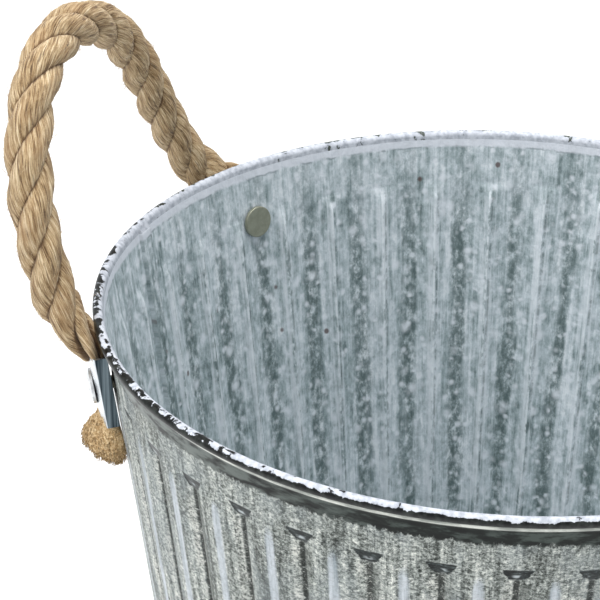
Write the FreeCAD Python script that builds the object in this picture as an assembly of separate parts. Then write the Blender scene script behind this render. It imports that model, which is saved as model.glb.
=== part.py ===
import FreeCAD, Part
import math
import os

# Round fluted sheet-metal bucket with two rope handles, in millimetres.
# Origin: centre of the ring that the bucket stands on. +Z up, handles at -X (left) and +X (right).
# The front of the bucket is towards -Y.

V = FreeCAD.Vector
UP = V(0, 0, 1)

# Driving dimensions
HEIGHT = 210.0            # floor to the top of the rolled rim
RIM_RADIUS = 125.0        # centre line of the rim wire
WIRE_RADIUS = 1.0
SHEET = 0.6               # wall and base sheet thickness
TAPER = 0.135             # wall radius lost for each millimetre going down

FLUTES = 38
FLUTE_PHASE = 182.57      # azimuth of one crease, degrees
CREASE_DEPTH = 1.2        # creases pressed in from the plain cone
CREST_BULGE = 0.6         # ribs between them swell out of it
ROOT_WIDTH = 0.6          # flat at the bottom of a crease
FACET_WIDTH = 8.8         # top edge of the facet that ends a crease
FACET_HEIGHT = 5.3
NECK = 17.0               # plain band, from the rim wire down to the facets
FOOT_BAND = 16.0          # plain band above the floor

SEAM_WIDTH = 6.4          # folded side seam, inside the wall
SEAM_THICKNESS = 1.3

BASE_LEVEL = 7.0          # upper face of the base plate
HEM_HEIGHT = 6.0          # base hem outside the wall
HEM_GAP = 0.05            # seamed sheets, face to face

CLIP_SPREAD = 29.77       # clip azimuth either side of the handle's middle, degrees
CLIP_WIDTH = 20.0
CLIP_HEIGHT = 24.0
CLIP_SHEET = 0.9
CLIP_FOOT = -0.2          # flange edge, above the ribs
CLIP_SHOULDER = 3.7       # flange bend, above the wall
CLIP_CROWN = 5.4          # middle of the arched face, above the wall
CLIP_DROP = 19.6          # rim wire down to the rivet
CLIP_LIFT = 2.0           # rivet up to the clip's middle
WALL_CLEAR = 0.15         # crest of a rib to the flat rope

RIVET_HEAD_RADIUS = 5.5
RIVET_HEAD = 1.1
RIVET_SHANK_RADIUS = 2.0
RIVET_HOLE_RADIUS = 2.1
HEAD_ON_CREASE = 2.05     # flat head's seat inside the plain cone, where it bridges a crease
HEAD_ON_RIB = 1.3         # the same where it lies on a rib

ROPE_RADIUS = 6.6
TAIL_LENGTH = 14.0        # rope below a clip
SOCKET_GAP = 0.8          # between the swinging rope and its clamped end

WIRE_LEVEL = HEIGHT - WIRE_RADIUS - SHEET
NECK_RADIUS = RIM_RADIUS - WIRE_RADIUS
FACET_TOP = WIRE_LEVEL - NECK
CREASE_TOP = FACET_TOP - FACET_HEIGHT
CREASE_FOOT = FOOT_BAND + FACET_HEIGHT
SLOPE = math.atan(TAPER)

# Route of a left rope's swinging loop, from the front leg over the top to the rear leg
LOOP_ROUTE = [
    (-118.0, -68.0, 214.4),
    (-120.7, -70.6, 228.0),
    (-124.3, -70.6, 246.0),
    (-128.3, -64.5, 265.0),
    (-131.3, -51.0, 280.0),
    (-133.2, -31.0, 286.5),
    (-133.7, -10.0, 283.5),
    (-133.2, 9.5, 274.0),
    (-131.5, 24.5, 259.0),
    (-129.3, 36.0, 242.0),
    (-127.0, 45.0, 227.5),
    (-123.9, 53.6, 214.4),
]
LEG_LEVEL = -6.5          # where the rope fills out above its clip, from the rim wire
LEG_OFFSET = 7.4          # rope centre there, outside the rim wire


def cone_radius(z):
    """Outer radius of the plain cone at height z."""
    return NECK_RADIUS - TAPER * (WIRE_LEVEL - z)


def polar(radius, azimuth, z):
    """Point from a radius, an azimuth in degrees and a height."""
    a = math.radians(azimuth)
    return V(radius * math.cos(a), radius * math.sin(a), z)


def revolve(points_or_edges):
    """Solid of revolution about Z of a closed profile in the XZ plane."""
    face = Part.Face(Part.Wire(points_or_edges))
    return face.revolve(V(0, 0, 0), UP, 360)


def polyline(points):
    """Edges of a closed polygon."""
    return [Part.LineSegment(a, b).toShape() for a, b in zip(points, points[1:] + points[:1])]


def fluted_section(z, depth, bulge, root_width, inset):
    """Closed wire round the wall at height z: a short root and a rib arc for each flute."""
    plain = cone_radius(z) - inset
    root = plain - depth
    half_root = math.degrees(root_width / 2 / plain)
    pitch = 360.0 / FLUTES
    edges = []
    for i in range(FLUTES):
        middle = FLUTE_PHASE + i * pitch
        a = polar(root, middle - half_root, z)
        b = polar(root, middle + half_root, z)
        c = polar(root, middle + pitch - half_root, z)
        edges.append(Part.Arc(a, polar(root, middle, z), b).toShape())
        edges.append(Part.Arc(b, polar(plain + bulge, middle + pitch / 2, z), c).toShape())
    return Part.Wire(edges)


def fluted_body(inset):
    """Solid inside the wall's surface, set in by inset, from the neck to the foot band."""
    sections = [
        fluted_section(FACET_TOP, 0, 0, FACET_WIDTH, inset),
        fluted_section(CREASE_TOP, CREASE_DEPTH, CREST_BULGE, ROOT_WIDTH, inset),
        fluted_section(CREASE_FOOT, CREASE_DEPTH, CREST_BULGE, ROOT_WIDTH, inset),
        fluted_section(FOOT_BAND, 0, 0, FACET_WIDTH, inset),
    ]
    return Part.makeLoft(sections, True, True)


def rim_profile():
    """Neck with its edge curled outwards round the rim wire, down to the facets."""
    centre = V(RIM_RADIUS, 0, WIRE_LEVEL)
    outer = WIRE_RADIUS + SHEET
    lip = math.radians(-150)

    def around(radius, angle):
        return centre + V(radius * math.cos(angle), 0, radius * math.sin(angle))

    middle = math.radians(15)
    inside_top = around(outer, math.pi)
    outside_top = around(WIRE_RADIUS, math.pi)
    lip_outer = around(outer, lip)
    lip_inner = around(WIRE_RADIUS, lip)
    neck_outer = V(cone_radius(FACET_TOP), 0, FACET_TOP)
    neck_inner = neck_outer - V(SHEET, 0, 0)
    return [
        Part.Arc(inside_top, around(outer, middle), lip_outer).toShape(),
        Part.LineSegment(lip_outer, lip_inner).toShape(),
        Part.Arc(lip_inner, around(WIRE_RADIUS, middle), outside_top).toShape(),
        Part.LineSegment(outside_top, neck_outer).toShape(),
        Part.LineSegment(neck_outer, neck_inner).toShape(),
        Part.LineSegment(neck_inner, inside_top).toShape(),
    ]


def side_seam():
    """Folded seam down the inside of the wall, in the middle of the rib at the left handle."""
    pitch = 360.0 / FLUTES
    middle = FLUTE_PHASE - pitch / 2
    wires = []
    for z, cover in (
        (WIRE_LEVEL - 2.0, 0.3),
        (FACET_TOP, 0.3),
        (CREASE_TOP, -0.1),
        (CREASE_FOOT, -0.1),
        (FOOT_BAND, 0.3),
        (BASE_LEVEL + 3.0, 0.3),
    ):
        half = math.degrees(SEAM_WIDTH / 2 / cone_radius(z))
        outer = cone_radius(z) - cover
        inner = cone_radius(z) - SEAM_THICKNESS
        corners = [
            polar(outer, middle - half, z),
            polar(outer, middle + half, z),
            polar(inner, middle + half, z),
            polar(inner, middle - half, z),
        ]
        wires.append(Part.Wire(polyline(corners)))
    return Part.makeLoft(wires, True, True)


def foot_band():
    """Plain cone below the flutes; its edge sits in the base hem."""
    low = SHEET
    outer_high = V(cone_radius(FOOT_BAND), 0, FOOT_BAND)
    outer_low = V(cone_radius(low), 0, low)
    thick = V(SHEET, 0, 0)
    return revolve(polyline([outer_high, outer_low, outer_low - thick, outer_high - thick]))


def bucket_wall(holes):
    """Curled rim, neck, fluted wall, foot band and side seam, as one formed sheet."""
    flutes = fluted_body(0).cut(fluted_body(SHEET))
    wall = revolve(rim_profile()).fuse([flutes, foot_band(), side_seam()])
    return wall.cut(holes)


def rim_wire():
    return Part.makeTorus(RIM_RADIUS, WIRE_RADIUS - HEM_GAP, V(0, 0, WIRE_LEVEL))


def base_plate():
    """Pan with its flange folded down inside the wall, under its edge and up outside it."""
    def at(z, out):
        return V(cone_radius(z) + out, 0, z)

    inside = -SHEET - HEM_GAP
    outside = HEM_GAP
    points = [
        V(0, 0, BASE_LEVEL),
        at(BASE_LEVEL, inside),
        at(SHEET - HEM_GAP, inside),
        at(SHEET - HEM_GAP, outside),
        at(HEM_HEIGHT, outside),
        at(HEM_HEIGHT, outside + SHEET),
        at(0, outside + SHEET),
        at(0, inside - SHEET),
        at(BASE_LEVEL - SHEET, inside - SHEET),
        V(0, 0, BASE_LEVEL - SHEET),
    ]
    return revolve(polyline(points))


def on_wall(shape, azimuth):
    """Carries a shape from the clip frame to the wall.

    In the clip frame the rivet is at the origin, +X points out of the wall from the rib crests,
    +Y runs round the rim and +Z goes up along the wall's slope.
    """
    z = WIRE_LEVEL - CLIP_DROP
    shape = shape.copy()
    shape.rotate(V(0, 0, 0), V(0, 1, 0), math.degrees(SLOPE))
    shape.translate(V(cone_radius(z) + CREST_BULGE + WALL_CLEAR, 0, z))
    shape.rotate(V(0, 0, 0), UP, azimuth)
    return shape


def arched(half_width, low, shoulder, crown):
    """Profile across a clip or the rope in it: flat below, arched above."""
    points = [V(low, -half_width, 0), V(shoulder, -half_width, 0)]
    ends = [V(shoulder, half_width, 0), V(low, half_width, 0)]
    return [
        Part.LineSegment(points[0], points[1]).toShape(),
        Part.Arc(points[1], V(crown, 0, 0), ends[0]).toShape(),
        Part.LineSegment(ends[0], ends[1]).toShape(),
        Part.LineSegment(ends[1], points[0]).toShape(),
    ]


def prism(edges, bottom, top):
    """Upright solid between two levels of the clip frame."""
    face = Part.Face(Part.Wire(edges))
    face.translate(V(0, 0, bottom))
    return face.extrude(V(0, 0, top - bottom))


def rivet_hole():
    return Part.makeCylinder(RIVET_HOLE_RADIUS, 30, V(-15, 0, 0), V(1, 0, 0))


def clip():
    """Strap bent over the rope: arched face with a flange down each side."""
    bottom = CLIP_LIFT - CLIP_HEIGHT / 2
    top = CLIP_LIFT + CLIP_HEIGHT / 2
    outer = prism(arched(CLIP_WIDTH / 2, CLIP_FOOT, CLIP_SHOULDER, CLIP_CROWN), bottom, top)
    hollow = arched(
        CLIP_WIDTH / 2 - CLIP_SHEET,
        CLIP_FOOT - 1,
        CLIP_SHOULDER - CLIP_SHEET,
        CLIP_CROWN - CLIP_SHEET,
    )
    strap = outer.cut(prism(hollow, bottom - 1, top + 1))
    upright = [e for e in strap.Edges if abs(e.Length - CLIP_HEIGHT) < 1e-3]
    bends = [e for e in upright if abs(e.CenterOfMass.x - CLIP_SHOULDER) < 1e-3]
    return strap.makeFillet(0.8, bends).cut(rivet_hole())


def rivet(seat):
    """Flat head inside the bucket, shank through wall, rope and clip, low domed head outside."""
    inside = -CREST_BULGE - WALL_CLEAR - seat
    axis = V(1, 0, 0)
    flat = Part.makeCylinder(RIVET_HEAD_RADIUS, RIVET_HEAD, V(inside - RIVET_HEAD, 0, 0), axis)
    rim = [e for e in flat.Edges if abs(e.CenterOfMass.x - (inside - RIVET_HEAD)) < 1e-3]
    flat = flat.makeFillet(0.35, [rim[0]])
    outside = CLIP_CROWN + 0.02
    shank = Part.makeCylinder(RIVET_SHANK_RADIUS, outside - inside + 0.4, V(inside - 0.2, 0, 0), axis)
    dome_height = 0.9
    dome_radius = (RIVET_HEAD_RADIUS**2 + dome_height**2) / (2 * dome_height)
    dome = Part.makeSphere(dome_radius, V(outside + RIVET_HEAD - 0.3 + dome_height - dome_radius, 0, 0))
    head = Part.makeCylinder(RIVET_HEAD_RADIUS, RIVET_HEAD + dome_height, V(outside, 0, 0), axis)
    return flat.fuse([shank, head.common(dome)])


def leg_start(sign):
    """Centre of the full rope just above a left clip: sign -1 front, +1 rear."""
    radius = RIM_RADIUS + LEG_OFFSET
    return polar(radius, 180 - sign * CLIP_SPREAD, WIRE_LEVEL + LEG_LEVEL)


def rope_end(sign, hinge_point):
    """Clamped rope of a left clip: tail, flat stretch in the clip, and leg up to the hinge."""
    azimuth = 180 - sign * CLIP_SPREAD
    bottom = CLIP_LIFT - CLIP_HEIGHT / 2
    top = CLIP_LIFT + CLIP_HEIGHT / 2
    flat_profile = arched(
        CLIP_WIDTH / 2 - CLIP_SHEET - 0.1,
        0,
        CLIP_SHOULDER - CLIP_SHEET - 0.1,
        CLIP_CROWN - CLIP_SHEET - 0.1,
    )
    flat = prism(flat_profile, bottom - 0.5, top + 0.5)
    tail = Part.makeCylinder(ROPE_RADIUS, TAIL_LENGTH, V(ROPE_RADIUS, 0, bottom - 0.3 - TAIL_LENGTH))
    tail_edges = [e for e in tail.Edges if e.CenterOfMass.z < bottom - TAIL_LENGTH]
    tail = tail.makeFillet(2.0, [tail_edges[0]])
    clamped = on_wall(flat.fuse(tail).cut(rivet_hole()), azimuth)
    above_clip = leg_start(sign)
    along = (hinge_point - above_clip).normalize()
    start = above_clip - along * LEG_OFFSET
    reach = (hinge_point - start).Length - ROPE_RADIUS - SOCKET_GAP
    leg = Part.makeCylinder(ROPE_RADIUS, reach, start, along)
    corner = V(-CLIP_WIDTH, -CLIP_WIDTH, bottom + 0.1)
    below = Part.makeBox(2 * CLIP_WIDTH, 2 * CLIP_WIDTH, CLIP_HEIGHT, corner)
    leg = leg.cut(on_wall(below, azimuth))
    return clamped.fuse(leg).removeSplitter()


def tangent_path(route):
    """Straight runs joined by tangent arcs, each as large as its two runs allow; prints the radii."""
    edges = []
    radii = []
    last = route[0]
    for before, corner, after in zip(route, route[1:], route[2:]):
        back = before - corner
        ahead = after - corner
        shorter = min(back.Length, ahead.Length)
        turn = math.pi - back.getAngle(ahead)
        radius = 0.45 * shorter / math.tan(turn / 2)
        radii.append(round(radius, 1))
        back.normalize()
        ahead.normalize()
        first = corner + back * (0.45 * shorter)
        second = corner + ahead * (0.45 * shorter)
        centre = corner + (back + ahead).normalize() * (radius / math.cos(turn / 2))
        middle = centre + (corner - centre).normalize() * radius
        edges.append(Part.LineSegment(last, first).toShape())
        edges.append(Part.Arc(first, middle, second).toShape())
        last = second
    edges.append(Part.LineSegment(last, route[-1]).toShape())
    print("rope arc radii:", radii)
    return Part.Wire(edges)


def rope_loop():
    """Swinging part of a left rope, with a ball at each leg's hinge point."""
    route = [V(*p) for p in LOOP_ROUTE]
    path = tangent_path(route)
    circle = Part.Circle(route[0], route[1] - route[0], ROPE_RADIUS)
    tube = path.makePipeShell([Part.Wire(circle.toShape())], True, False)
    section = math.pi * ROPE_RADIUS**2
    print("rope tube volume over section x length:", round(tube.Volume / (section * path.Length), 4))
    print("rope loop length:", round(path.Length, 1))
    balls = [Part.makeSphere(ROPE_RADIUS, end) for end in (route[0], route[-1])]
    return tube.fuse(balls)


def turned_half(shape):
    """The same piece on the right side: half a turn about Z."""
    turned = shape.copy()
    turned.rotate(V(0, 0, 0), UP, 180)
    return turned


def export(name, shape):
    """Writes parts/NAME.step and says what it holds."""
    solids = shape.Solids
    if len(solids) == 1:
        shape = solids[0]
    print(f"{name}: {len(solids)} solid, valid {shape.isValid()}, {shape.Volume:.0f} mm3")
    shape.exportStep(f"parts/{name}.step")


def main():
    os.makedirs("parts", exist_ok=True)
    left = {}
    holes = []
    corners = (("front", -1, LOOP_ROUTE[0], HEAD_ON_CREASE), ("rear", 1, LOOP_ROUTE[-1], HEAD_ON_RIB))
    for place, sign, end, seat in corners:
        azimuth = 180 - sign * CLIP_SPREAD
        left[f"{place}_clip"] = on_wall(clip(), azimuth)
        left[f"{place}_rivet"] = on_wall(rivet(seat), azimuth)
        left[f"{place}_rope_end"] = rope_end(sign, V(*end))
        holes.append(on_wall(rivet_hole(), azimuth))
    left["rope_loop"] = rope_loop()
    holes += [turned_half(hole) for hole in holes]

    export("bucket_wall", bucket_wall(holes))
    export("rim_wire", rim_wire())
    export("base_plate", base_plate())
    for name, shape in left.items():
        export(f"left_{name}", shape)
        # half a turn carries the left front corner to the right rear one
        swapped = {"front": "rear", "rear": "front"}
        place, _, rest = name.partition("_")
        export(f"right_{swapped.get(place, place)}_{rest}", turned_half(shape))


main()
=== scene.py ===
"""Looks of the florist bucket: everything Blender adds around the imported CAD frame. Metres, row frame."""

import math

import bpy
import numpy as np
from mathutils import Matrix, Vector, noise


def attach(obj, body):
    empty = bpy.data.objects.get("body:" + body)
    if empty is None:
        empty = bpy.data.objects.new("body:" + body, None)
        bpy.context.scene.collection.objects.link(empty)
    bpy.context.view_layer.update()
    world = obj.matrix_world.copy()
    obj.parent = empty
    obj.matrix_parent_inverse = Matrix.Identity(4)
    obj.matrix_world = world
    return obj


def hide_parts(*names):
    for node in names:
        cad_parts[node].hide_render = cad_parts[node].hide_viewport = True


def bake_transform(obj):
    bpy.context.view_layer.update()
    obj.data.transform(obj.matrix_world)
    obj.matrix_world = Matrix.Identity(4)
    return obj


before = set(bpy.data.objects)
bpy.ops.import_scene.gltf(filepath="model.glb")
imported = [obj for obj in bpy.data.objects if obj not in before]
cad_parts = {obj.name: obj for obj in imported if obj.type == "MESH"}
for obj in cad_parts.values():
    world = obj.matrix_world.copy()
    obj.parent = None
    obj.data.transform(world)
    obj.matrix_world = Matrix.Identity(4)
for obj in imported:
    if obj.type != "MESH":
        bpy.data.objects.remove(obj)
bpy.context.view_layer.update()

MM = 0.001

# ---------------------------------------------------------------- sizes in mm, as in the CAD source

WIRE_LEVEL = 208.4  # above the floor
RIM_RADIUS = 125.0
CONE_TOP = 124.0  # outer radius of the plain cone at the rim wire
BEAD_RADIUS = 1.6
SHEET = 0.6
TAPER = 0.135
FLUTES = 38
FLUTE_PHASE = 182.57  # degrees
CREASE_DEPTH = 1.2
CREST_BULGE = 0.6
NECK = 17.0  # rim wire down to the flutes
FACET_HEIGHT = 5.3
FACET_HALF_WIDTH = 4.6
FADE_HEIGHT = 7  # over which a flute rises to its full height
FOOT_BAND = 16.0
SEAM_THICKNESS = 1.3
CLIP_SPREAD = 29.77  # degrees
CLIP_DROP = 19.6
CLIP_BOTTOM = -10.0  # from the rivet
RIVET_OFF_CREST = 0.15  # clip frame's origin off a rib's crest
HALF_PITCH = 10.25  # mm from a crease to the next rib's crest, at the neck

# the left rope's centreline in metres, from its front clip to its rear clip
ROUTE = [
    (-0.1068, -0.0611, 0.1796),
    (-0.1082, -0.0619, 0.1915),
    (-0.1097, -0.0628, 0.2013),
    (-0.1142, -0.0653, 0.2072),
    (-0.1180, -0.0680, 0.2144),
    (-0.1207, -0.0706, 0.2280),
    (-0.1243, -0.0706, 0.2460),
    (-0.1283, -0.0645, 0.2650),
    (-0.1313, -0.0510, 0.2800),
    (-0.1332, -0.0310, 0.2865),
    (-0.1337, -0.0100, 0.2835),
    (-0.1340, 0.0090, 0.2742),
    (-0.1333, 0.0238, 0.2598),
    (-0.1320, 0.0350, 0.2425),
    (-0.1301, 0.0438, 0.2275),
    (-0.1273, 0.0517, 0.2140),
    (-0.1222, 0.0568, 0.2045),
    (-0.1112, 0.0628, 0.1978),
    (-0.1082, 0.0619, 0.1915),
    (-0.1068, 0.0611, 0.1796),
]
FLAT_FROM, FLAT_TO = 0.2020, 0.2170  # heights between which the rope turns from flattened to round
FLAT_THIN, FLAT_WIDE = 0.69, 0.28  # shares that a flattened rope loses off the wall and gains along it


def cone_radius(z):
    """Outer radius of the plain cone at height z, in mm."""
    return CONE_TOP - TAPER * (WIRE_LEVEL - z)


def smooth(x, low, high):
    """0 below low, 1 above high, smooth between."""
    t = np.clip((np.asarray(x, float) - low) / (high - low), 0, 1)
    return t * t * (3 - 2 * t)


# ---------------------------------------------------------------- mesh helpers


def mesh_object(name, points, faces, material, smooth_faces=True):
    """A mesh object from points in metres and faces."""
    mesh = bpy.data.meshes.new(name)
    mesh.from_pydata([tuple(p) for p in points], [], faces)
    mesh.polygons.foreach_set("use_smooth", [smooth_faces] * len(mesh.polygons))
    mesh.materials.append(material)
    obj = bpy.data.objects.new(name, mesh)
    bpy.context.scene.collection.objects.link(obj)
    return obj


def point_values(obj, name, values):
    """Stores one number, or one vector, for each point."""
    values = np.asarray(values, np.float32)
    vector = values.ndim == 2
    layer = obj.data.attributes.new(name, "FLOAT_VECTOR" if vector else "FLOAT", "POINT")
    layer.data.foreach_set("vector" if vector else "value", values.ravel())


def grid_faces(rows, columns, close_rows=False):
    """Quads of a grid stored row by row, whose columns close on themselves."""
    r = np.arange(rows if close_rows else rows - 1)[:, None]
    c = np.arange(columns)[None, :]
    a, b = r * columns + c, r * columns + (c + 1) % columns
    up = ((r + 1) % rows) * columns
    quads = np.stack([a, b, up + (c + 1) % columns, up + c], axis=-1)
    return quads.reshape(-1, 4).tolist()


def tubes(lines, radii, sides=3):
    """Points and faces of thin closed tubes along many lines of equal point count."""
    lines = np.asarray(lines, float)
    count, steps, _ = lines.shape
    along = np.gradient(lines, axis=1)
    along /= np.linalg.norm(along, axis=2, keepdims=True) + 1e-12
    guide = np.where(np.abs(along[..., 2:]) < 0.8, [0.0, 0.0, 1.0], [1.0, 0.0, 0.0])
    across = np.cross(along, guide)
    across /= np.linalg.norm(across, axis=2, keepdims=True) + 1e-12
    other = np.cross(along, across)
    turn = np.arange(sides) * 2 * math.pi / sides
    ring = np.cos(turn)[:, None] * across[:, :, None] + np.sin(turn)[:, None] * other[:, :, None]
    points = lines[:, :, None] + ring * np.asarray(radii)[None, :, None, None]
    quads = []
    for s in range(steps - 1):
        for k in range(sides):
            m = (k + 1) % sides
            quads.append((s * sides + k, s * sides + m, (s + 1) * sides + m, (s + 1) * sides + k))
    quads = np.array(quads)[None] + np.arange(count)[:, None, None] * steps * sides
    return points.reshape(-1, 3), quads.reshape(-1, 4).tolist()


# ---------------------------------------------------------------- node helpers


def srgb(r, g, b):
    """Linear colour from 8-bit display values."""
    shares = (r / 255, g / 255, b / 255)
    return tuple(c / 12.92 if c <= 10 / 255 else ((c + 0.055) / 1.055) ** 2.4 for c in shares) + (1.0,)


class Nodes:
    """One material's node tree, built a node at a time."""

    def __init__(self, name):
        self.material = bpy.data.materials.new(name)
        self.material.use_nodes = True
        self.tree = self.material.node_tree
        self.shader = self.tree.nodes["Principled BSDF"]

    def link(self, source, socket):
        if hasattr(source, "links"):
            self.tree.links.new(source, socket)
        else:
            socket.default_value = source

    def node(self, kind, **settings):
        made = self.tree.nodes.new(kind)
        for key, value in settings.items():
            setattr(made, key, value)
        return made

    def value(self, name):
        """A number stored on the mesh."""
        return self.node("ShaderNodeAttribute", attribute_name=name).outputs["Fac"]

    def place(self, name=None):
        """A vector stored on the mesh, or the object coordinates."""
        if name:
            return self.node("ShaderNodeAttribute", attribute_name=name).outputs["Vector"]
        return self.node("ShaderNodeTexCoord").outputs["Object"]

    def stretched(self, vector, x, y, z):
        made = self.node("ShaderNodeMapping")
        self.link(vector, made.inputs["Vector"])
        made.inputs["Scale"].default_value = (x, y, z)
        return made.outputs["Vector"]

    def noise(self, vector, scale, detail=3.0, roughness=0.5, distortion=0.0):
        made = self.node("ShaderNodeTexNoise")
        self.link(vector, made.inputs["Vector"])
        made.inputs["Scale"].default_value = scale
        made.inputs["Detail"].default_value = detail
        made.inputs["Roughness"].default_value = roughness
        made.inputs["Distortion"].default_value = distortion
        return made.outputs["Fac"]

    def cells(self, vector, scale):
        made = self.node("ShaderNodeTexVoronoi")
        self.link(vector, made.inputs["Vector"])
        made.inputs["Scale"].default_value = scale
        return made.outputs["Distance"]

    def math(self, operation, a, b=0.0, c=0.0):
        made = self.node("ShaderNodeMath", operation=operation)
        for value, socket in zip((a, b, c), made.inputs):
            self.link(value, socket)
        return made.outputs[0]

    def step(self, value, start, end):
        """0 before start and 1 past end, smooth between; start may lie above end."""
        made = self.node("ShaderNodeMapRange", interpolation_type="SMOOTHSTEP")
        self.link(value, made.inputs["Value"])
        made.inputs["From Min"].default_value = start
        made.inputs["From Max"].default_value = end
        return made.outputs["Result"]

    def both(self, *masks):
        result = masks[0]
        for mask in masks[1:]:
            result = self.math("MULTIPLY", result, mask)
        return result

    def ramp(self, value, stops):
        made = self.node("ShaderNodeValToRGB")
        self.link(value, made.inputs["Fac"])
        line = made.color_ramp
        while len(line.elements) < len(stops):
            line.elements.new(0.5)
        for element, (where, colour) in zip(line.elements, stops):
            element.position = where
            element.color = colour
        return made.outputs["Color"]

    def mix(self, share, a, b):
        made = self.node("ShaderNodeMix", data_type="RGBA")
        self.link(share, made.inputs[0])
        self.link(a, made.inputs[6])
        self.link(b, made.inputs[7])
        return made.outputs[2]

    def blend(self, share, a, b):
        """Mixes two numbers."""
        made = self.node("ShaderNodeMix", data_type="FLOAT")
        self.link(share, made.inputs[0])
        self.link(a, made.inputs[2])
        self.link(b, made.inputs[3])
        return made.outputs[0]

    def split(self, vector):
        made = self.node("ShaderNodeSeparateXYZ")
        self.link(vector, made.inputs[0])
        return made.outputs

    def bump(self, height, distance, strength=1.0):
        made = self.node("ShaderNodeBump")
        self.link(height, made.inputs["Height"])
        made.inputs["Distance"].default_value = distance
        made.inputs["Strength"].default_value = strength
        self.tree.links.new(made.outputs["Normal"], self.shader.inputs["Normal"])

    def finish(self, colour, roughness, metallic=0.0, **sockets):
        self.link(colour, self.shader.inputs["Base Color"])
        self.link(roughness, self.shader.inputs["Roughness"])
        self.link(metallic, self.shader.inputs["Metallic"])
        for name, value in sockets.items():
            self.shader.inputs[name.replace("_", " ")].default_value = value
        return self.material


# ---------------------------------------------------------------- camera

camera_data = bpy.data.cameras.new("camera")
camera_data.lens = 125.97
camera_data.sensor_width = 36.0
camera = bpy.data.objects.new("camera", camera_data)
camera.location = (0.13012, -0.56138, 0.50741)
camera.rotation_euler = [math.radians(a) for a in (62.2385, -0.6084, 19.6671)]
bpy.context.scene.collection.objects.link(camera)
bpy.context.scene.camera = camera
bpy.context.scene.view_settings.view_transform = "Standard"

# ---------------------------------------------------------------- rope materials


def jute(name, light, dark):
    """Fibres that run along a strand; 'fibre' is (round, round, along) in metres, turned with the yarn."""
    n = Nodes(name)
    place = n.place("fibre")
    fine = n.noise(n.stretched(place, 1, 1, 0.10), 3000, 5, 0.7)
    coarse = n.noise(n.stretched(place, 1, 1, 0.16), 800, 3, 0.6, 0.5)
    patches = n.noise(place, 130, 2)
    tone = n.math("ADD", n.math("MULTIPLY", fine, 0.62), n.math("MULTIPLY", coarse, 0.38))
    colour = n.ramp(tone, [
        (0.39, srgb(*dark)), (0.46, srgb(156, 126, 86)), (0.53, srgb(198, 171, 131)), (0.61, srgb(*light)),
    ])
    colour = n.mix(n.both(n.step(patches, 0.5, 0.75), 0.35), colour, srgb(164, 124, 80))
    slits = n.both(n.step(n.noise(n.stretched(place, 1, 1, 0.13), 1300, 3, 0.6), 0.40, 0.33), 0.75)
    colour = n.mix(slits, colour, srgb(82, 58, 34))
    # painted shade in the grooves between the strands, ragged with the coarse fibres
    ragged = n.math("ADD", n.value("groove"), n.math("MULTIPLY", n.math("SUBTRACT", coarse, 0.5), 1.2))
    colour = n.mix(n.step(ragged, -0.05, 0.5), srgb(104, 76, 46), colour)
    n.bump(tone, 0.0009, 1.0)
    return n.finish(colour, 0.85, Sheen_Weight=0.12, Sheen_Roughness=0.5)


rope_jute = jute("rope_jute", (236, 217, 182), (92, 66, 38))
n = Nodes("hair_jute")
hair_tone = n.noise(n.place(), 400, 2)
hair_jute = n.finish(n.ramp(hair_tone, [(0.35, srgb(160, 124, 82)), (0.65, srgb(226, 202, 164))]), 0.8)

# ---------------------------------------------------------------- ropes

LAY = 46.0 * MM  # one full turn of a strand
STRAND = 3.75 * MM
STRAND_OUT = 3.35 * MM  # strand centre from the rope's centreline
YARN_LAY = 22 * MM  # one full turn of a yarn in its strand
YARNS = 9
LINE_STEP = 0.55 * MM
RING_POINTS = 40
HAIRS = 1500
HAIR_STEPS = 5
HAIR_RADII = [0.055, 0.05, 0.045, 0.035, 0.015]
CLAMPED_ROWS = 50  # no hair on this many rows at each end, inside the clips


def route_line(name, points):
    """The points of a rope's NURBS centreline, evenly spaced."""
    curve = bpy.data.curves.new(name, "CURVE")
    curve.dimensions = "3D"
    curve.resolution_u = 24
    spline = curve.splines.new("NURBS")
    spline.points.add(len(points) - 1)
    for place, point in zip(points, spline.points):
        point.co = (*place, 1.0)
    spline.order_u = 3
    spline.use_endpoint_u = True
    holder = bpy.data.objects.new(name, curve)
    bpy.context.scene.collection.objects.link(holder)
    bpy.context.view_layer.update()
    mesh = bpy.data.meshes.new_from_object(holder.evaluated_get(bpy.context.evaluated_depsgraph_get()))
    line = np.array([v.co for v in mesh.vertices], float)
    bpy.data.objects.remove(holder)
    far = np.concatenate([[0], np.cumsum(np.linalg.norm(np.diff(line, axis=0), axis=1))])
    even = np.linspace(0, far[-1], int(far[-1] / LINE_STEP))
    return np.stack([np.interp(even, far, line[:, k]) for k in range(3)], axis=1), even


def carried_frames(line):
    """Two directions across a line at each of its points, carried along without twist."""
    along = np.gradient(line, axis=0)
    along /= np.linalg.norm(along, axis=1, keepdims=True)
    first = np.cross(along[0], [1.0, 0.0, 0.0])
    first /= np.linalg.norm(first)
    firsts = [first]
    for direction in along[1:]:
        moved = firsts[-1] - direction * firsts[-1].dot(direction)
        firsts.append(moved / np.linalg.norm(moved))
    firsts = np.array(firsts)
    return firsts, np.cross(along, firsts)


def squeezed(points, centres):
    """Flattens a rope against the wall where it goes into its clips."""
    share = 1 - smooth(centres[:, 2], FLAT_FROM, FLAT_TO)
    outward = centres * [1, 1, 0]
    outward /= np.linalg.norm(outward, axis=1, keepdims=True)
    off = points - centres[:, None]
    radial = np.einsum("rsk,rk->rs", off, outward)
    rest = off - radial[..., None] * outward[:, None]
    thin, wide = (1 - FLAT_THIN * share)[:, None, None], (1 + FLAT_WIDE * share)[:, None, None]
    return centres[:, None] + radial[..., None] * thin * outward[:, None] + rest * wide


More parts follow.
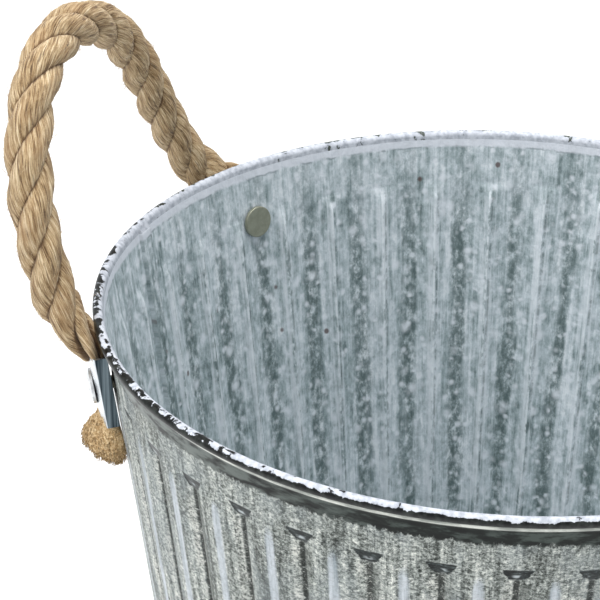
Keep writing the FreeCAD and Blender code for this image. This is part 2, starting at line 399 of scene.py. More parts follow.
def rope(side, half_turn, phase, seed):
    """A three-strand rope from clip to clip with its stray fibres."""
    sign = -1 if half_turn else 1
    route = [(sign * x, sign * y, z) for x, y, z in ROUTE]
    line, far = route_line(side + "_route", route)
    first, second = carried_frames(line)
    rng = np.random.default_rng(seed)
    points, faces, fibre, groove, roots = [], [], [], [], []
    around = np.arange(RING_POINTS) * 2 * math.pi / RING_POINTS
    angle = around[None, :]
    yarn_turn = far[:, None] / YARN_LAY * 2 * math.pi
    turned = angle + yarn_turn
    for k in range(3):
        swing = far / LAY * 2 * math.pi + phase + k * 2 * math.pi / 3
        out = np.cos(swing)[:, None] * first + np.sin(swing)[:, None] * second
        centre = line + out * STRAND_OUT
        course = np.gradient(centre, axis=0)
        course /= np.linalg.norm(course, axis=1, keepdims=True)
        flank = np.cross(course, out)
        flank /= np.linalg.norm(flank, axis=1, keepdims=True)
        away = np.cross(flank, course)
        yarns = np.abs(np.sin(YARNS / 2 * (turned + 0.5 * k)))
        lumps = np.array([
            [noise.noise((math.cos(a) * 1.3 + k * 7, math.sin(a) * 1.3, f * 160 + seed)) for a in around]
            for f in far
        ])
        size = STRAND * (0.93 + 0.07 * yarns + 0.07 * lumps)
        # a strand spreads sideways where the others press on it
        flat = 1 + 0.10 * np.abs(np.sin(angle)) ** 2
        ring = (np.cos(angle) * size)[..., None] * away[:, None]
        ring = ring + (np.sin(angle) * size * flat)[..., None] * flank[:, None]
        whole = squeezed(centre[:, None] + ring, line)
        base = len(points) * len(far) * RING_POINTS
        points.append(whole)
        faces += [[i + base for i in quad] for quad in grid_faces(len(far), RING_POINTS)]
        distance = np.broadcast_to(far[:, None], turned.shape)
        fibre.append(np.stack([np.cos(turned) * STRAND + k * 0.02, np.sin(turned) * STRAND, distance], axis=-1))
        groove.append(smooth(np.cos(angle), -0.15, 0.62) * (0.75 + 0.25 * yarns))
        roots.append((whole, course))
    name = side + "_rope"
    obj = mesh_object(name, np.concatenate([p.reshape(-1, 3) for p in points]), faces, rope_jute)
    point_values(obj, "fibre", np.concatenate([f.reshape(-1, 3) for f in fibre]))
    point_values(obj, "groove", np.concatenate([g.reshape(-1) for g in groove]))

    lines = []
    for _ in range(HAIRS):
        whole, course = roots[rng.integers(3)]
        row = rng.integers(CLAMPED_ROWS, len(far) - CLAMPED_ROWS)
        column = rng.integers(-9, 10)  # on the strand's outer side
        root = whole[row, column]
        outward = root - line[row]
        outward /= np.linalg.norm(outward)
        size = rng.uniform(1.2, 5.5) * MM
        lift = rng.uniform(0.1, 0.75)
        heading = course[row] * rng.choice([-1, 1]) + outward * lift + rng.normal(0, 0.25, 3)
        heading /= np.linalg.norm(heading)
        curl = rng.normal(0, 0.5, 3)
        t = np.linspace(0, 1, HAIR_STEPS)[:, None]
        lines.append(root + heading * size * t + curl * size * 0.4 * t**2)
    hair_points, hair_faces = tubes(lines, np.array(HAIR_RADII) * MM)
    hair = mesh_object(side + "_rope_hair", hair_points, hair_faces, hair_jute)

    for piece in (obj, hair):
        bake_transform(piece)
    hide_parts(side + "_rope_loop", side + "_front_rope_end", side + "_rear_rope_end")


rope("left", False, 0.4, 11)
rope("right", True, 2.1, 23)

# ---------------------------------------------------------------- frayed rope ends below the clips

SLOPE = math.atan(TAPER)
STUB_RINGS, STUB_SIDES = 16, 22
STUB_CURLS = 820  # loose fibres on each stub
CURL_STEPS = 7
CURL_RADII = [0.12, 0.12, 0.11, 0.1, 0.09, 0.07, 0.04]
WALL_ROUND = 260  # twice the wall's radius at a clip, roughly
CLEAR_FROM, CLEAR_SOFT = 0.5, 0.42  # how near to the wall a point may come, and how softly it is stopped
# three strand stubs, each as centre points (out, round, up), in mm from the clip's lower edge, and its widest radius
STUBS = [
    ([(2.4, -2.0, 3), (4.0, -2.8, -3), (6.2, -3.2, -7.5), (8.0, -3.4, -10.5), (8.8, -3.2, -12.6)], 4.5),
    ([(2.4, 1.4, 3), (4.0, 2.2, -3), (5.4, 3.0, -8), (5.6, 3.4, -13.5)], 5.0),
    ([(2.4, 5.8, 3), (2.6, 7.2, -3), (2.8, 8.6, -8), (2.6, 9.2, -12)], 4.3),
]


def clip_frame(azimuth):
    """Matrix from the clip's own frame, in metres, to the row frame, as in the CAD source."""
    z = WIRE_LEVEL - CLIP_DROP
    return (
        Matrix.Rotation(math.radians(azimuth), 4, "Z")
        @ Matrix.Translation((MM * (cone_radius(z) + CREST_BULGE + RIVET_OFF_CREST), 0, MM * z))
        @ Matrix.Rotation(SLOPE, 4, "Y")
    )


def frayed_end(name, azimuth, mirror, seed):
    """The brush of loose jute where a rope's cut end comes out below its clip: three burst strands, curled fibre."""
    rng = np.random.default_rng(seed)
    points, faces, lines = [], [], []
    rings, sides = STUB_RINGS, STUB_SIDES
    for centres, wide in STUBS:
        centres = np.array(centres, float) + [0, 0, CLIP_BOTTOM]
        t = np.linspace(0, 1, rings)
        where = t * (len(centres) - 1)
        mid = np.stack([np.interp(where, np.arange(len(centres)), centres[:, k]) for k in range(3)], axis=1)
        course = np.gradient(mid, axis=0)
        course /= np.linalg.norm(course, axis=1, keepdims=True)
        across = np.cross(course, [0.0, 1.0, 0.0])
        across /= np.linalg.norm(across, axis=1, keepdims=True)
        other = np.cross(course, across)
        rounded_tip = np.sqrt(np.clip(1 - np.clip((t - 0.62) / 0.39, 0, 1) ** 2, 0.02, 1))
        size = wide * (0.55 + 0.45 * smooth(t, 0.1, 0.5)) * rounded_tip
        base = len(points)
        for r in range(rings):
            for s in range(sides):
                a = s * 2 * math.pi / sides
                direction = math.cos(a) * across[r] + math.sin(a) * other[r]
                lump = 1 + 0.16 * noise.noise(Vector(mid[r] * 0.5 + direction * 2.2 + seed))
                points.append(mid[r] + direction * size[r] * lump)
        faces += [[i + base for i in quad] for quad in grid_faces(rings, sides)]
        faces.append([base + (rings - 1) * sides + s for s in range(sides)])
        # curled fibres all over the stub, thicker towards its end
        for _ in range(STUB_CURLS):
            r = min(rings - 1, int(rings * rng.uniform(0.25, 1.0)))
            s = rng.integers(sides)
            root = points[base + r * sides + s]
            outward = root - mid[r]
            outward /= np.linalg.norm(outward) + 1e-9
            outward = outward + course[r] * smooth(t[r], 0.5, 1.0) * 1.2
            side_way = np.cross(outward, rng.normal(0, 1, 3))
            side_way /= np.linalg.norm(side_way) + 1e-9
            steps = np.linspace(0, 1, CURL_STEPS)[:, None]
            reach = rng.uniform(0.5, 1.3)
            coil = rng.uniform(0.2, 0.6)
            turn = rng.uniform(2.0, 7.0)
            lines.append(
                root - outward * 0.3
                + outward * reach * np.sin(steps * 1.8) * 0.55
                + side_way * coil * np.sin(steps * turn)
                + course[r] * coil * (1 - np.cos(steps * turn))
            )
    hair_points, hair_faces = tubes(lines, CURL_RADII)
    base = len(points)
    points = np.concatenate([np.array(points), hair_points])
    # the wall is behind: nothing goes into it
    clear = points[:, 0] + points[:, 1] ** 2 / WALL_ROUND + 0.2
    pressed = CLEAR_FROM - CLEAR_SOFT * np.tanh((CLEAR_FROM - clear) / CLEAR_SOFT)
    points[:, 0] += np.where(clear < CLEAR_FROM, pressed - clear, 0)
    faces += [[i + base for i in quad] for quad in hair_faces]
    if mirror:
        points = points * [1, -1, 1]
        faces = [quad[::-1] for quad in faces]
    place = np.array(clip_frame(azimuth))
    moved = points * MM @ place[:3, :3].T + place[:3, 3]
    obj = mesh_object(name, moved, faces, brush_jute)
    point_values(obj, "brush", points * MM)
    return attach(obj, "bucket")


n = Nodes("brush_jute")
curls = n.noise(n.place("brush"), 1500, 4, 0.65, 0.8)
clumps = n.noise(n.place("brush"), 420, 2)
brush_colour = n.ramp(curls, [(0.34, srgb(134, 100, 60)), (0.47, srgb(196, 162, 114)), (0.62, srgb(238, 212, 168))])
brush_colour = n.mix(n.both(n.step(clumps, 0.5, 0.7), 0.35), brush_colour, srgb(172, 134, 88))
n.bump(curls, 0.0007)
brush_jute = n.finish(brush_colour, 0.9)

for side, turn in (("left", 0), ("right", 180)):
    for place, sign in (("front", -1), ("rear", 1)):
        azimuth = 180 - sign * CLIP_SPREAD + turn
        mirror = (place == "rear") == (side == "left")
        swapped = {"front": "rear", "rear": "front"}[place] if turn else place
        frayed_end(f"{side}_{swapped}_frayed_end", azimuth, mirror, 31 + int(azimuth))

# ---------------------------------------------------------------- bucket wall

rng = np.random.default_rng(5)
PITCH = 360.0 / FLUTES
flute_shift = rng.normal(0, 0.05, FLUTES)  # degrees
flute_depth = 1 + rng.normal(0, 0.07, FLUTES)
facet_level = NECK + rng.normal(0, 0.22, FLUTES)

SEAM_MIDDLE = FLUTE_PHASE - PITCH / 2
# columns of the wall over one flute, and beside the seam's two folds, in mm from the crease and from the seam
FLUTE_STEPS = [
    -8.2, -6.2, -4.4, -3.2, -2.2, -1.4, -0.8, -0.35, 0, 0.35, 0.8, 1.4, 2.2, 3.2, 4.4, 6.2, 8.2, HALF_PITCH,
]
SEAM_STEPS = [-3.35, -3.15, 3.15, 3.35]


def wall_columns():
    """For each column of the wall: azimuth, flute number and signed distance from its crease in mm."""
    columns = []
    for i in range(FLUTES):
        for s in FLUTE_STEPS:
            columns.append((FLUTE_PHASE + i * PITCH + s / HALF_PITCH * PITCH / 2, i, s))
    for offset in SEAM_STEPS:
        azimuth = SEAM_MIDDLE + offset / HALF_PITCH * PITCH / 2
        i = (FLUTES - 1) if offset < 0 else 0
        crease = FLUTE_PHASE + i * PITCH - (360 if i else 0)
        turn = 360 if azimuth < SEAM_MIDDLE + 1e-6 else 0
        columns.append((azimuth + turn, i, (azimuth - crease) / PITCH * 2 * HALF_PITCH))
    columns.sort(key=lambda c: c[0])
    return columns


columns = wall_columns()
azimuths = np.array([c[0] for c in columns])
flute_of = np.array([c[1] for c in columns])
across = np.array([c[2] for c in columns])
shift = flute_shift[flute_of] * (1 - np.abs(across) / HALF_PITCH)
angle = np.radians(azimuths + shift)
crest = np.abs(across) / HALF_PITCH
seam_off = np.abs((azimuths - SEAM_MIDDLE + 180) % 360 - 180) / PITCH * 2 * HALF_PITCH


def relief(below):
    """For each column, at a depth below the rim wire: mm out of the plain cone, and mm below the facet's top."""
    depth = flute_depth[flute_of]
    level = NECK + (facet_level[flute_of] - NECK) * (1 - crest)
    drop = below - level
    foot = (WIRE_LEVEL - below) - FOOT_BAND
    fold = -CREASE_DEPTH * depth + (CREASE_DEPTH * depth + CREST_BULGE) * (1 - (1 - crest) ** 2.2)
    fold = fold - 0.2 * np.exp(-((across / 0.55) ** 2)) * smooth(drop, 3.2, 6)

    def faded(away):
        """The flute at a distance from its top or its foot, where a facet slopes back to the plain cone."""
        t = np.clip(away / FACET_HEIGHT, 0, 1)
        facet = -CREASE_DEPTH * depth * 1.02 * (0.42 * t + 0.58 * t**3)
        raised = np.maximum(fold, 0) * smooth(away, -0.5, FADE_HEIGHT)
        return np.where(fold < 0, np.maximum(facet, np.minimum(fold, 0)), raised)

    result = np.where(drop < 0, 0.0, np.where(drop < FADE_HEIGHT, faded(drop), fold))
    if foot < 0:
        result = np.zeros_like(result)
    elif foot < FADE_HEIGHT:
        result = np.minimum(result, faded(foot))
    ridge = 0.16 * np.exp(-((drop / 0.34) ** 2)) * (np.abs(across) < FACET_HALF_WIDTH)
    return result + ridge, drop


OUTER_ROWS = [
    1.25, 1.6, 1.9, 2.2, 2.5, 2.8, 3.1, 3.4, 3.7, 4.1, 4.6, 6.5, 9, 11.5, 13.5, 15.4, 16.3, 16.7, 17.0, 17.3, 17.7,
    18.2, 18.7, 19.3, 19.9, 20.5, 21.1, 21.7, 22.4, 23.5, 25.5, 29, 34, 41, 49, 58, 68, 79, 91, 103, 115, 127, 139, 150,
    160, 170, 178, 184, 187, 189, 190.5, 191.6, 192.4, 193.2, 196, 201, 207.8,
]
INNER_ROWS = [
    207.8, 201, 193.2, 192.4, 191, 189, 187, 182, 174, 163, 152, 141, 130, 119, 108, 98, 88, 79, 71, 63, 56, 50, 44,
    39, 34, 30, 26.5, 24, 22.3, 21, 20, 19, 18, 17.2, 16.4, 15, 12.5, 9.5, 6.5, 4.2, 3.6, 3.0, 2.0, 1.0,
]
BEAD_ANGLES = [-138, -118, -98, -78, -58, -38, -18, 2, 22, 42, 62, 82, 102, 122, 142, 162, 178]
OUTSIDE, INSIDE, BEAD = 0, 1, 2  # parts of the wall, and their material slots
OUTSIDE_BEAD, INSIDE_BEAD = -2.0, 1.2  # "bead" beyond its two ends, which run from -0.77 to 0.99


def wall_mesh():
    """The whole sheet as one closed profile carried round: outside, curled rim, inside."""
    # each row: radius, height, distance below the facets' tops, part, and half turns round the bead
    rows = []
    for below in reversed(OUTER_ROWS):
        out, drop = relief(below)
        bead_step = 0.5 * math.exp(-(((below - 2.95) / 0.75) ** 4))
        radius = cone_radius(WIRE_LEVEL - below) + out + bead_step
        rows.append((radius, np.full(len(angle), WIRE_LEVEL - below), drop, OUTSIDE, OUTSIDE_BEAD))
    for degrees in BEAD_ANGLES:
        a = math.radians(degrees)
        wobble = np.array([0.06 * noise.noise((math.cos(t) * 9, math.sin(t) * 9, degrees * 0.02)) for t in angle])
        size = BEAD_RADIUS + wobble
        z = WIRE_LEVEL + size * math.sin(a)
        rows.append((RIM_RADIUS + size * math.cos(a), z, np.full(len(angle), -15.0), BEAD, degrees / 180))
    for below in reversed(INNER_ROWS):
        out, drop = relief(below)
        z = WIRE_LEVEL - below
        radius = cone_radius(z) + out - SHEET
        folded = cone_radius(z) - SEAM_THICKNESS - 0.12 * np.abs(seam_off - 1.2)
        radius = np.where(seam_off < 3.25, np.minimum(radius, folded), radius)
        rows.append((radius, np.full(len(angle), z), drop, INSIDE, INSIDE_BEAD))
    dents = np.array([
        [noise.noise((math.cos(t) * 3.1, math.sin(t) * 3.1, row[1][0] * 0.02)) for t in angle]
        for row in rows
    ])
    points, drops, beads, places = [], [], [], []
    for (radius, z, drop, part, bead), dent in zip(rows, dents):
        radius = (radius + dent * (0.12 if part == BEAD else 0.22)) * MM
        points.append(np.stack([radius * np.cos(angle), radius * np.sin(angle), z * MM], axis=1))
        drops.append(drop)
        beads.append(np.full(len(angle), bead))
        places.append(np.stack([0.11 * np.cos(angle), 0.11 * np.sin(angle), (z - WIRE_LEVEL) * MM], axis=1))
    parts = np.array([row[3] for row in rows])
    faces = [quad[::-1] for quad in grid_faces(len(rows), len(angle), close_rows=True)]
    obj = mesh_object("fluted_wall", np.concatenate(points), faces, zinc_outside)
    obj.data.materials.append(zinc_inside)
    obj.data.materials.append(rim_paint)
    row_of = np.arange(len(faces)) // len(angle)
    slots = parts[row_of]
    slots[row_of == len(OUTER_ROWS) - 1] = BEAD
    obj.data.polygons.foreach_set("material_index", slots.astype(np.int32))
    point_values(obj, "place", np.concatenate(places))
    point_values(obj, "crest", np.tile(crest, len(rows)))
    point_values(obj, "across", np.tile(np.sin(math.pi * across / HALF_PITCH), len(rows)))
    point_values(obj, "drop", np.concatenate(drops))
    point_values(obj, "bead", np.concatenate(beads))
    return obj


def outside_material():
    """Spangled, streaked zinc with a neck painted dark as a reflection, pressed facets painted dark as shade, painted
    shade in the creases, a painted highlight and painted shade on the crease flanks, and pale crest stripes.
    """
    n = Nodes("zinc_outside")
    place = n.place("place")
    x, y, z = n.split(place)
    below = n.math("MULTIPLY", z, -1000.0)
    drop, crest_at, across_at = n.value("drop"), n.value("crest"), n.value("across")
    grain = n.noise(place, 1000, 6, 0.85)
    worms = n.noise(n.stretched(place, 1, 1, 1.6), 620, 4, 0.75, 1.5)
    streak = n.noise(n.stretched(place, 1, 1, 0.06), 560, 4, 0.65)
    broad = n.noise(n.stretched(place, 1, 1, 0.35), 90, 3)
    tone = n.math("ADD", n.math("MULTIPLY", grain, 0.45), n.math("MULTIPLY", streak, 0.25))
    tone = n.math("ADD", tone, n.math("MULTIPLY", worms, 0.30))
    colour = n.ramp(tone, [
        (0.41, srgb(28, 32, 29)), (0.46, srgb(88, 93, 88)), (0.50, srgb(142, 148, 144)),
        (0.545, srgb(194, 198, 192)), (0.60, srgb(246, 246, 238)),
    ])
    colour = n.mix(n.both(n.step(broad, 0.46, 0.62), 0.3), colour, srgb(146, 156, 160))
    # a painted highlight on the flank on one side of each crease, painted shade on the flank on the other, both broken
    # up by the grain
    broken = n.step(n.math("ADD", n.math("MULTIPLY", grain, 0.55), n.math("MULTIPLY", worms, 0.45)), 0.44, 0.56)
    uneven = n.step(n.noise(n.stretched(place, 1, 1, 0.25), 140, 3), 0.36, 0.6)
    flank = n.both(n.step(crest_at, 0.06, 0.12), n.step(crest_at, 0.44, 0.24), n.step(drop, 3.4, 8.0), uneven)
    colour = n.mix(n.both(flank, n.step(across_at, 0.0, -0.35), broken, 0.8), colour, srgb(226, 226, 218))
    colour = n.mix(n.both(flank, n.step(across_at, 0.0, 0.35), 0.5), colour, srgb(80, 84, 79))
    # painted shade along each crease below the facets
    crease = n.both(n.step(crest_at, 0.13, 0.05), n.step(drop, 4.2, 5.2), n.step(worms, 0.66, 0.52))
    colour = n.mix(n.both(crease, 0.9), colour, srgb(44, 47, 44))
    round_top = n.math("MULTIPLY", n.math("POWER", n.math("SUBTRACT", 1.0, crest_at), 2.0), -90.0)
    top = n.math("ADD", n.math("ADD", drop, round_top), n.math("MULTIPLY", n.math("SUBTRACT", worms, 0.5), 9.0))
    edge = n.math("ADD", crest_at, n.math("MULTIPLY", n.math("SUBTRACT", streak, 0.5), 0.16))
    stripe = n.both(n.step(edge, 0.80, 0.90), n.step(top, 2.4, 6.5), n.blend(broken, 0.7, 0.95))
    stripe_colour = n.ramp(streak, [(0.35, srgb(158, 168, 174)), (0.6, srgb(204, 210, 216))])
    colour = n.mix(stripe, colour, stripe_colour)
    # pressed facet: painted dark as shade where it faces down, with a painted highlight on its top edge and a painted
    # glint
    wide = n.math("MULTIPLY", crest_at, HALF_PITCH)
    low = n.math("SUBTRACT", 1.0, n.math("POWER", n.math("DIVIDE", wide, FACET_HALF_WIDTH), 2.4))
    edge_noise = n.math("MULTIPLY", n.math("SUBTRACT", n.noise(place, 700, 3), 0.5), 2.4)
    inside = n.math("ADD", n.math("SUBTRACT", n.math("MULTIPLY", low, 4.8), drop), edge_noise)
    ragged_top = n.math("ADD", drop, n.math("MULTIPLY", edge_noise, 0.4))
    facet = n.both(n.step(inside, -0.3, 0.6), n.step(ragged_top, 0.1, 0.6), n.step(wide, 4.7, 4.1))
    facet_tone = n.noise(n.stretched(place, 1, 1, 2.5), 600, 4, 0.7)
    facet_shade_colour = n.ramp(facet_tone, [(0.40, srgb(12, 16, 16)), (0.55, srgb(40, 47, 47)), (0.7, srgb(92, 100, 100))])
    colour = n.mix(facet, colour, facet_shade_colour)
    # painted highlight along the facet's top edge
    near_top = n.step(n.math("ABSOLUTE", drop), 0.42, 0.18)
    lip_highlight = n.both(near_top, n.step(wide, 4.7, 4.2), n.step(n.noise(place, 800, 2), 0.42, 0.56))
    colour = n.mix(n.both(lip_highlight, 0.6), colour, srgb(186, 192, 190))
    # painted glint in the facet's lower middle
    some = n.step(n.noise(place, 420, 1), 0.40, 0.55)
    glint = n.both(n.step(wide, 1.9, 0.3), n.step(drop, 2.0, 2.9), n.step(drop, 3.9, 3.0), some)
    colour = n.mix(n.both(glint, 0.8), colour, srgb(190, 198, 200))
    # neck: smooth, painted dark as a reflection of dark surroundings, with a ragged lower edge, and a paler painted
    # reflection on the left
    ragged = n.math("ADD", below, n.math("MULTIPLY", n.noise(n.stretched(place, 1, 1, 0.5), 420, 4, 0.7), -6.5))
    neck = n.step(ragged, 6.4, 5.2)
    neck_tone = n.noise(n.stretched(place, 1, 1, 3.0), 160, 5, 0.6)
    neck_reflection_colour = n.ramp(neck_tone, [(0.35, srgb(8, 11, 10)), (0.50, srgb(20, 26, 23)), (0.64, srgb(66, 74, 70))])
    # paler painted reflection on the left side of the neck
    left = n.step(n.math("ADD", x, n.math("MULTIPLY", y, -0.2)), 0.03, -0.06)
    neck_reflection_colour = n.mix(n.both(left, n.step(neck_tone, 0.35, 0.6)), neck_reflection_colour, srgb(110, 117, 113))
    colour = n.mix(neck, colour, neck_reflection_colour)
    # painted highlight along the small step just below the bead
    line = n.both(n.step(below, 1.9, 2.1), n.step(below, 4.0, 3.6))
    step_highlight_colour = n.ramp(neck_tone, [(0.38, srgb(150, 154, 148)), (0.6, srgb(214, 216, 208))])
    colour = n.mix(line, colour, step_highlight_colour)
    # black band just below the bead: partly painted shadow under the bead, partly dark bare metal
    colour = n.mix(n.step(below, 2.0, 1.8), colour, srgb(14, 15, 15))
    smooth_part = n.math("MAXIMUM", neck, facet)
    rough = n.blend(smooth_part, n.step(tone, 0.3, 0.75), 0.0)
    rough = n.math("ADD", n.math("MULTIPLY", rough, 0.22), 0.33)
    n.bump(n.blend(smooth_part, tone, 0.5), 0.0008, 1.0)
    return n.finish(colour, rough, 0.12, Specular_IOR_Level=0.2)


def inside_material():
    """Thin blue-grey whitewash over zinc: pale soft blobs, upright streaks and a lined crease at each flute, drawn with
    a painted highlight and painted shade.
    """
    n = Nodes("zinc_inside")
    place = n.place("place")
    _, _, z = n.split(place)
    below = n.math("MULTIPLY", z, -1000.0)
    crest_at, across_at = n.value("crest"), n.value("across")
    streak = n.noise(n.stretched(place, 1, 1, 0.045), 620, 5, 0.7)
    mottle = n.noise(n.stretched(place, 1, 1, 0.6), 380, 5, 0.7)
    cloud = n.noise(n.stretched(place, 1, 1, 0.4), 95, 4, 0.6)
    tone = n.math("ADD", n.math("MULTIPLY", streak, 0.36), n.math("MULTIPLY", cloud, 0.24))
    tone = n.math("ADD", tone, n.math("MULTIPLY", mottle, 0.40))
    colour = n.ramp(tone, [
        (0.39, srgb(112, 127, 128)), (0.46, srgb(160, 174, 177)),
        (0.53, srgb(198, 208, 213)), (0.60, srgb(228, 234, 238)),
    ])
    # dark greenish bands on the ribs, with ragged sides, fading in below the rim
    deep = n.step(below, 12, 45)
    sway = n.math("SUBTRACT", n.noise(n.stretched(place, 1, 1, 0.1), 260, 4), 0.5)
    sideways = n.math("ADD", crest_at, n.math("MULTIPLY", sway, 0.9))
    band = n.both(n.step(sideways, 0.56, 0.92), n.blend(deep, 0.3, 0.9), n.step(mottle, 0.70, 0.46))
    colour = n.mix(band, colour, n.ramp(mottle, [(0.4, srgb(84, 101, 101)), (0.6, srgb(138, 152, 153))]))
    # pale stripe along each crease
    pale = n.both(n.step(crest_at, 0.34, 0.10), n.step(below, 14, 30), n.step(streak, 0.40, 0.56))
    colour = n.mix(n.both(pale, 0.6), colour, srgb(222, 228, 233))
    for scale, low, high in ((170, 0.44, 0.06), (300, 0.46, 0.08)):
        blob = n.step(n.cells(n.stretched(place, 1, 1, 0.85), scale), low, high)
        some = n.step(n.noise(place, scale * 0.8, 2), 0.44, 0.58)
        colour = n.mix(n.both(blob, some, 0.85), colour, srgb(228, 233, 239))
    # painted highlight on one side of each crease's inner ridge
    bright = n.both(n.step(crest_at, 0.08, 0.02), n.step(across_at, -0.14, 0.0), n.step(below, 16, 24))
    colour = n.mix(n.both(bright, n.step(mottle, 0.42, 0.56), 0.8), colour, srgb(232, 238, 242))
    beside = n.math("ABSOLUTE", n.math("ADD", across_at, 0.30))
    shade = n.both(n.step(beside, 0.20, 0.04), n.step(crest_at, 0.3, 0.2), n.step(below, 14, 26))
    colour = n.mix(n.both(shade, n.step(mottle, 0.60, 0.42), 0.5), colour, srgb(82, 96, 96))
    speck = n.step(n.cells(n.stretched(place, 1, 1, 0.8), 75), 0.085, 0.04)
    colour = n.mix(n.both(speck, n.step(n.noise(place, 60, 1), 0.48, 0.54), 0.85), colour, srgb(84, 62, 58))
    edge = n.math("ADD", below, n.math("MULTIPLY", n.noise(place, 300, 3), -1.6))
    colour = n.mix(n.both(n.step(edge, 3.6, 2.2), 0.85), colour, srgb(226, 229, 237))
    line = n.step(n.math("ABSOLUTE", n.math("SUBTRACT", edge, 3.1)), 0.5, 0.1)
    colour = n.mix(n.both(line, n.step(n.noise(place, 180, 3), 0.46, 0.56), 0.5), colour, srgb(110, 122, 128))
    n.bump(n.math("ADD", n.math("MULTIPLY", mottle, 0.7), n.math("MULTIPLY", tone, 0.5)), 0.0006, 0.8)
    return n.finish(colour, n.math("ADD", n.math("MULTIPLY", tone, 0.2), 0.42), 0.1)


def rim_material():
    """White paint on the bead, rubbed through to black in ragged patches, mostly outside and below; the black below is
    partly painted shade under the bead.
    """
    n = Nodes("rim_paint")
    place = n.place()
    x, y, _ = n.split(place)
    turned = n.value("bead")  # half turns round the bead: 0 outside, 0.5 on top, 1 inside
    patches = n.noise(place, 150, 4, 0.65, 1.2)
    crumbs = n.noise(place, 520, 3, 0.55)
    wear = n.math("ADD", n.math("MULTIPLY", patches, 0.72), n.math("MULTIPLY", crumbs, 0.28))
    # more black on the bead's outer underside: partly wear, partly painted shade under the bead
    wear = n.math("SUBTRACT", wear, n.math("MULTIPLY", n.step(turned, 0.30, 0.02), 0.20))
    wear = n.math("SUBTRACT", wear, n.math("MULTIPLY", n.both(n.step(turned, 0.50, 0.40), n.step(y, 0.0, 0.04)), 0.09))
    left_front = n.both(n.step(x, -0.03, -0.08), n.step(y, 0.03, -0.02), n.step(turned, 0.9, 0.6))
    wear = n.math("SUBTRACT", wear, n.math("MULTIPLY", left_front, 0.05))
    right_front = n.both(n.step(x, -0.04, 0.02), n.step(turned, 0.20, 0.30))
    wear = n.math("ADD", wear, n.math("MULTIPLY", n.math("MAXIMUM", right_front, n.step(turned, 0.5, 0.66)), 0.07))
    paint = n.step(wear, 0.445, 0.475)
    white = n.ramp(crumbs, [(0.35, srgb(160, 165, 174)), (0.6, srgb(198, 202, 210))])
    black = n.ramp(crumbs, [(0.42, srgb(8, 10, 10)), (0.68, srgb(46, 50, 47))])
    black = n.mix(n.both(n.step(y, 0.0, 0.05), 0.55), black, srgb(96, 104, 96))
    colour = n.mix(paint, black, white)
    n.bump(paint, 0.00012, 0.9)
    return n.finish(colour, n.math("ADD", n.math("MULTIPLY", paint, 0.2), 0.35), 0.0, Specular_IOR_Level=0.25)


zinc_outside = outside_material()
zinc_inside = inside_material()
rim_paint = rim_material()
wall = wall_mesh()
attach(wall, "bucket")
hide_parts("bucket_wall")

# ---------------------------------------------------------------- metal of the CAD nodes


def plate_material():
    """Bright zinc plate with fine scratches, with painted shade, blue-black and streaked, on the sides of each strap.
    """
    n = Nodes("clip_plate")
    place = n.place()
    x, y, _ = n.split(place)
    facing_x, facing_y, facing_z = n.split(n.node("ShaderNodeTexCoord").outputs["Normal"])
    scratch = n.noise(n.stretched(place, 1, 1, 0.04), 1600, 4, 0.7)
    stain = n.noise(place, 220, 4, 0.6)
    colour = n.ramp(stain, [(0.35, srgb(184, 189, 193)), (0.6, srgb(206, 211, 215))])
    reach = n.math("SQRT", n.math("ADD", n.math("MULTIPLY", x, x), n.math("MULTIPLY", y, y)))
    outward = n.math("ADD", n.math("MULTIPLY", x, facing_x), n.math("MULTIPLY", y, facing_y))
    outward = n.math("ABSOLUTE", n.math("DIVIDE", outward, reach))
    # painted shade on the strap's sides, streaked
    flank = n.both(n.step(outward, 0.80, 0.55), n.step(n.math("ABSOLUTE", facing_z), 0.7, 0.4))
    bands = n.noise(n.stretched(place, 1, 1, 0.02), 420, 3, 0.6)
    dark = n.ramp(bands, [(0.38, srgb(8, 12, 15)), (0.5, srgb(34, 44, 50)), (0.62, srgb(104, 116, 122))])
    colour = n.mix(flank, colour, dark)
    rough = n.math("ADD", n.math("MULTIPLY", scratch, 0.25), n.blend(flank, 0.12, 0.25))
    n.bump(scratch, 0.00008, 0.6)
    return n.finish(colour, rough, 1.0)


def rivet_material():
    """Dull olive-grey plate, brighter on the outer head."""
    n = Nodes("rivet_plate")
    place = n.place()
    x, y, _ = n.split(place)
    outward = n.math("SQRT", n.math("ADD", n.math("MULTIPLY", x, x), n.math("MULTIPLY", y, y)))
    stain = n.noise(place, 500, 4, 0.6)
    dull = n.ramp(stain, [(0.35, srgb(140, 141, 124)), (0.65, srgb(154, 155, 138))])
    bright = n.ramp(stain, [(0.35, srgb(176, 180, 182)), (0.65, srgb(226, 228, 228))])
    n.bump(stain, 0.0001, 0.6)
    colour = n.mix(n.step(outward, 0.1225, 0.1235), dull, bright)
    return n.finish(colour, n.math("ADD", n.math("MULTIPLY", stain, 0.2), 0.25), 0.5)


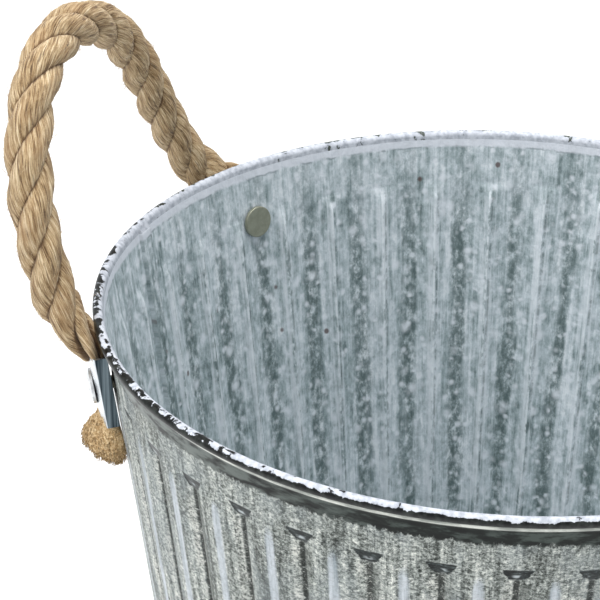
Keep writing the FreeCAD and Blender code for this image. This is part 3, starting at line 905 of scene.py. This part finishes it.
def sheet_material(name, dark, light, rough):
    """Dull metal with a fine spangle."""
    n = Nodes(name)
    place = n.place()
    spangle = n.noise(place, 260, 5, 0.65, 0.5)
    fine = n.noise(place, 1400, 3, 0.6)
    n.bump(fine, 0.0001, 0.6)
    colour = n.ramp(spangle, [(0.36, srgb(*dark)), (0.62, srgb(*light))])
    return n.finish(colour, n.math("ADD", n.math("MULTIPLY", fine, 0.2), rough), 0.5)


clip_plate, rivet_plate = plate_material(), rivet_material()
base_zinc = sheet_material("base_zinc", (88, 97, 101), (140, 149, 155), 0.35)
wire_steel = sheet_material("wire_steel", (90, 90, 88), (150, 150, 148), 0.3)

for name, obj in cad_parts.items():
    if name.endswith("_clip"):
        look = clip_plate
    elif name.endswith("_rivet"):
        look = rivet_plate
    elif name == "base_plate":
        look = base_zinc
    else:
        look = wire_steel
    if not obj.material_slots:
        obj.data.materials.append(look)
    for slot in obj.material_slots:
        slot.material = look

# ---------------------------------------------------------------- floor and light

n = Nodes("pale_floor")
floor_tone = n.noise(n.place(), 3, 2)
pale_floor = n.finish(n.ramp(floor_tone, [(0.3, srgb(244, 244, 244)), (0.7, srgb(250, 250, 250))]), 0.9)
floor = mesh_object("floor", [(-6, -6, 0), (6, -6, 0), (6, 6, 0), (-6, 6, 0)], [(0, 1, 2, 3)], pale_floor)

world = bpy.data.worlds.new("studio")
world.use_nodes = True
background = world.node_tree.nodes["Background"]
background.inputs["Color"].default_value = (0.95, 0.975, 1.0, 1)
background.inputs["Strength"].default_value = 0.70
bpy.context.scene.world = world


def softbox(name, place, aim, size, power):
    """A round area light at a place, turned to its aim."""
    data = bpy.data.lights.new(name, "AREA")
    data.shape = "DISK"
    data.size = size
    data.energy = power
    lamp = bpy.data.objects.new(name, data)
    lamp.location = place
    lamp.rotation_euler = (Vector(aim) - Vector(place)).to_track_quat("-Z", "Y").to_euler()
    bpy.context.scene.collection.objects.link(lamp)


softbox("key", (-1.1, -0.9, 1.7), (0, 0, 0.15), 1.1, 18)
softbox("top", (0.1, 0.0, 2.0), (0, 0, 0.1), 1.6, 34)
